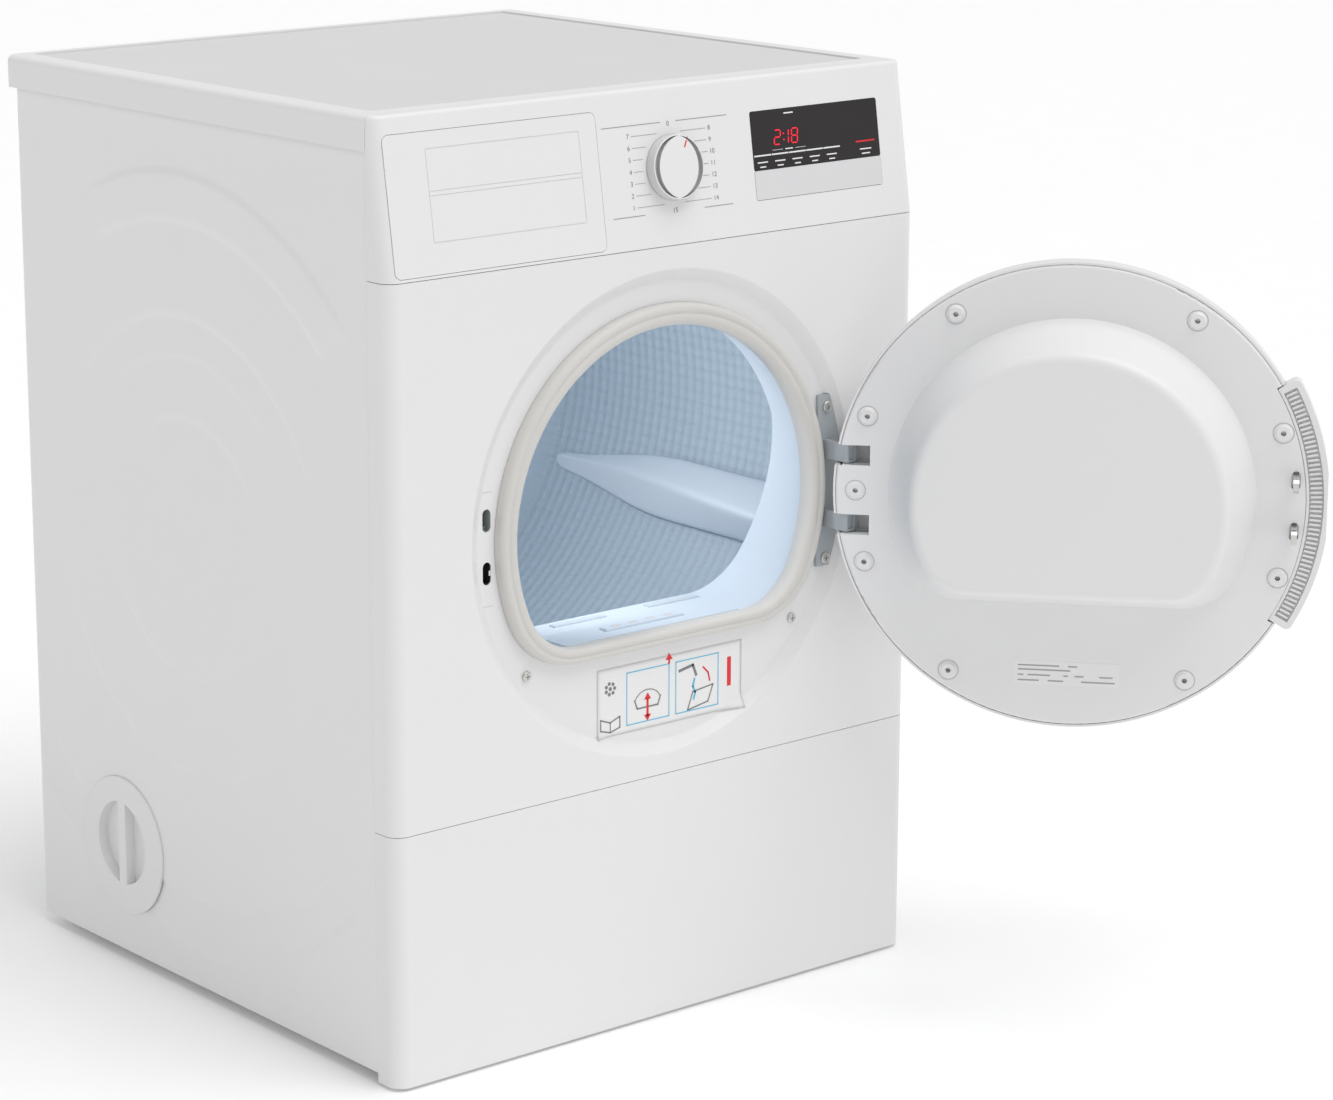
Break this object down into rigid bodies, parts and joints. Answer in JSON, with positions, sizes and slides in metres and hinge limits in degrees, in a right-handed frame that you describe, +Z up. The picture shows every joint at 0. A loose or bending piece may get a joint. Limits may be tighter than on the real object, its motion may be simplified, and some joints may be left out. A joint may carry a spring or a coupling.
{
  "type": "tumble dryer",
  "caption": "Free-standing front-loading vented clothes dryer with an open round door, drum, lint filter and side exhaust cap.",
  "frame": {"origin": "on the floor under the centre of the cabinet", "axes": "+X to the right of a person facing the door, +Y to the rear, +Z up"},
  "size_m": [0.7847, 0.9448, 0.842],
  "materials": {
    "white_enamel": "semi-gloss white enamel",
    "white_plastic": "satin white moulded plastic",
    "worktop_white": "white laminate, fine grain",
    "pale_blue_plastic": "satin pale blue-grey plastic",
    "hinge_grey": "grey painted die casting",
    "galvanised": "galvanised steel sheet",
    "bright_steel": "zinc plated steel",
    "dark_plastic": "gloss black plastic",
    "grey_plastic": "matt grey plastic",
    "seal_rubber": "pale warm grey rubber",
    "black_rubber": "matt black rubber",
    "felt": "wool felt",
    "cast_metal": "cast aluminium",
    "motor_steel": "dark painted laminations",
    "circuit_green": "green circuit board",
    "bronze": "sintered bronze",
    "lamp_clear": "clear lens"
  },
  "bodies": {
    "cabinet": {"control_fascia": "white_plastic", "blanking_panel": "white_plastic", "display_window": "dark_plastic", "touch_key_strip": "white_plastic", "control_board": "circuit_green", "selector_switch": "grey_plastic", "worktop_frame": "white_plastic", "worktop_board": "worktop_white", "side_panel_left": "white_enamel", "side_panel_right": "white_enamel", "rear_panel": "galvanised", "rear_air_cover": "galvanised", "heater_coil": "bright_steel", "bearing_spider": "cast_metal", "drum_bearing": "bronze", "mains_terminal_box": "grey_plastic", "front_panel": "white_enamel", "front_screws": "bright_steel", "plinth_cover": "white_plastic", "door_seal": "seal_rubber", "latch_case": "grey_plastic", "hinge_bracket": "hinge_grey", "front_shield": "pale_blue_plastic", "drum_felts": "felt", "moisture_sensors": "bright_steel", "drum_lamp": "lamp_clear", "air_channel": "grey_plastic", "roller_axles": "bright_steel", "motor": "motor_steel", "fan_housing": "grey_plastic", "drive_belt": "black_rubber", "motor_cradle": "galvanised", "capacitor": "grey_plastic", "exhaust_duct": "grey_plastic", "base_tray": "grey_plastic"},
    "door": {"door_inner_shell": "white_plastic", "door_outer_shell": "white_plastic", "door_handle": "white_plastic", "door_screws": "bright_steel", "door_hooks": "bright_steel", "hinge_leaf": "hinge_grey", "hinge_pin": "bright_steel"},
    "knob": {"program_knob": "white_plastic"},
    "filter": {"lint_filter": "pale_blue_plastic"},
    "drum": {"drum_shell": "galvanised", "drum_rear_wall": "galvanised", "drum_lifters": "pale_blue_plastic", "drum_spindle": "bright_steel"},
    "rotor": {"motor_shaft": "bright_steel", "fan_wheel": "grey_plastic"},
    "roller_l": {"support_roller_left": "black_rubber"},
    "roller_r": {"support_roller_right": "black_rubber"},
    "tensioner": {"tension_arm": "galvanised"},
    "idler": {"idler_pulley": "grey_plastic"},
    "cap": {"exhaust_cap": "white_plastic"},
    "bolt": {"latch_bolt": "white_plastic"},
    "foot_fl": {"foot_front_left": "black_rubber"},
    "foot_fr": {"foot_front_right": "black_rubber"},
    "foot_rl": {"foot_rear_left": "black_rubber"},
    "foot_rr": {"foot_rear_right": "black_rubber"}
  },
  "joints": [
    {"name": "door_hinge", "type": "hinge", "parent": "cabinet", "child": "door", "pos_m": [0.203, -0.318, 0.467], "axis": [0, 0, 1], "range_deg": [-131, 34]},
    {"name": "knob_turn", "type": "hinge", "parent": "cabinet", "child": "knob", "pos_m": [0.0146, -0.28795, 0.77204], "axis": [0, -0.9886, 0.1505], "continuous": true},
    {"name": "filter_lift", "type": "slide", "parent": "cabinet", "child": "filter", "axis": [0, 0, 1], "range_m": [0, 0.12]},
    {"name": "drum_spin", "type": "hinge", "parent": "cabinet", "child": "drum", "pos_m": [0, -0.098, 0.504], "axis": [0, -1, 0], "continuous": true},
    {"name": "motor_spin", "type": "hinge", "parent": "cabinet", "child": "rotor", "pos_m": [0.11, -0.098, 0.112], "axis": [0, -1, 0], "continuous": true},
    {"name": "roller_left_spin", "type": "hinge", "parent": "cabinet", "child": "roller_l", "pos_m": [-0.18085, -0.226, 0.24572], "axis": [0, -1, 0], "continuous": true},
    {"name": "roller_right_spin", "type": "hinge", "parent": "cabinet", "child": "roller_r", "pos_m": [0.18085, -0.226, 0.24572], "axis": [0, -1, 0], "continuous": true},
    {"name": "tensioner_swing", "type": "hinge", "parent": "cabinet", "child": "tensioner", "pos_m": [-0.046, 0.002, 0.066], "axis": [0, 1, 0], "range_deg": [0, 6]},
    {"name": "idler_spin", "type": "hinge", "parent": "tensioner", "child": "idler", "pos_m": [0.00412, -0.003, 0.14072], "axis": [0, -1, 0], "continuous": true},
    {"name": "exhaust_cap_twist", "type": "hinge", "parent": "cabinet", "child": "cap", "pos_m": [-0.3, 0.129, 0.116], "axis": [-1, 0, 0], "range_deg": [0, 40]},
    {"name": "latch_bolt_slide", "type": "slide", "parent": "cabinet", "child": "bolt", "axis": [0, 0, 1], "range_m": [0, 0.004]},
    {"name": "foot_fl_screw", "type": "slide", "parent": "cabinet", "child": "foot_fl", "axis": [0, 0, -1], "range_m": [0, 0.012]},
    {"name": "foot_fr_screw", "type": "slide", "parent": "cabinet", "child": "foot_fr", "axis": [0, 0, -1], "range_m": [0, 0.012]},
    {"name": "foot_rl_screw", "type": "slide", "parent": "cabinet", "child": "foot_rl", "axis": [0, 0, -1], "range_m": [0, 0.012]},
    {"name": "foot_rr_screw", "type": "slide", "parent": "cabinet", "child": "foot_rr", "axis": [0, 0, -1], "range_m": [0, 0.012]}
  ],
  "couplings": [
    {"joint": "motor_spin", "follows": "drum_spin", "ratio": 25.909},
    {"joint": "roller_left_spin", "follows": "drum_spin", "ratio": -9.5},
    {"joint": "roller_right_spin", "follows": "drum_spin", "ratio": -9.5}
  ]
}
